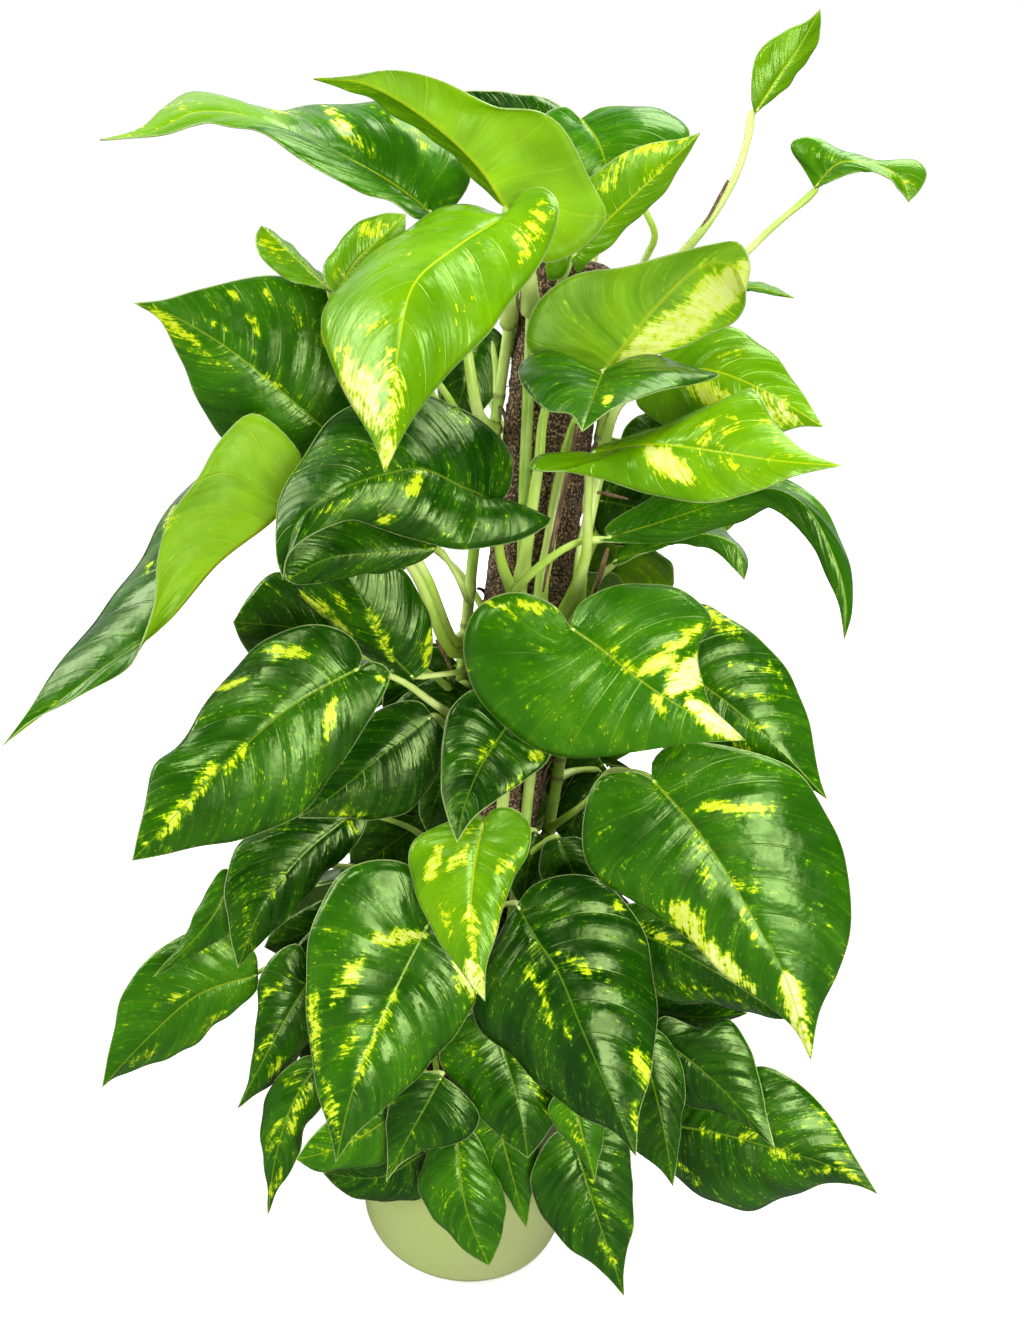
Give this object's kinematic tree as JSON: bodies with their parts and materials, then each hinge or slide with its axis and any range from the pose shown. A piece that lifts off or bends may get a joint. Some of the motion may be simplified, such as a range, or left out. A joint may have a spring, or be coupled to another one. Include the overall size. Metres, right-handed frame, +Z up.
{
  "type": "potted climbing plant",
  "caption": "Climbing house plant with heart-shaped green and yellow leaves round a fibre pole, in a plain round tapered pot of soil.",
  "frame": {"origin": "centre of the pot's flat foot", "axes": "+Z up along the pole, front of the plant towards -Y"},
  "size_m": [0.5538, 0.3697, 0.8341],
  "materials": {
    "pot": "satin pale sage green",
    "soil": "rough dark bark and soil",
    "pole": "rough dark brown fibre",
    "stem": "smooth, slightly glossy light green",
    "leaf_dark": "glossy dark green with yellow flecks",
    "leaf_lime": "glossy lime green with yellow flecks"
  },
  "bodies": {
    "root": {"pot": "pot", "soil": "soil", "pole": "pole", "stem_front": "stem", "stem_front_right": "stem", "stem_left": "stem", "stem_right": "stem", "stem_back_left": "stem", "stem_back": "stem", "stem_back_right": "stem", "leaf_crown_front": "leaf_lime", "leaf_crown_raised": "leaf_lime", "leaf_upper_left": "leaf_dark", "leaf_crown_dark": "leaf_dark", "leaf_crown_right": "leaf_lime", "leaf_small_left": "leaf_lime", "leaf_small_upright": "leaf_lime", "leaf_left_flecked": "leaf_dark", "leaf_left_hanging": "leaf_lime", "leaf_left_broad": "leaf_dark", "leaf_left_under": "leaf_dark", "leaf_left_middle": "leaf_dark", "leaf_left_pointed": "leaf_dark", "leaf_left_front": "leaf_dark", "leaf_left_shaded": "leaf_dark", "leaf_right_raised": "leaf_lime", "leaf_right_speckled": "leaf_dark", "leaf_right_pale": "leaf_lime", "leaf_right_front": "leaf_lime", "leaf_right_arched": "leaf_dark", "leaf_right_narrow": "leaf_dark", "leaf_middle_front": "leaf_dark", "leaf_right_flecked": "leaf_dark", "leaf_middle_low": "leaf_dark", "leaf_middle_lime": "leaf_lime", "leaf_right_broad": "leaf_dark", "leaf_low_left_upper": "leaf_dark", "leaf_low_left_outer": "leaf_dark", "leaf_low_left_narrow": "leaf_dark", "leaf_low_middle": "leaf_dark", "leaf_low_front": "leaf_dark", "leaf_low_left_inner": "leaf_dark", "leaf_low_left_tip": "leaf_dark", "leaf_low_right_upper": "leaf_dark", "leaf_low_right_middle": "leaf_dark", "leaf_low_right_outer": "leaf_dark", "leaf_low_right_hanging": "leaf_dark", "leaf_foot_middle": "leaf_dark", "leaf_foot_small": "leaf_lime", "leaf_foot_right": "leaf_dark", "leaf_foot_pale": "leaf_lime", "leaf_foot_front": "leaf_dark", "leaf_foot_left": "leaf_dark", "leaf_foot_yellow": "leaf_lime", "leaf_foot_shaded": "leaf_dark", "leaf_top_new": "leaf_lime", "leaf_top_right": "leaf_dark"}
  },
  "joints": []
}
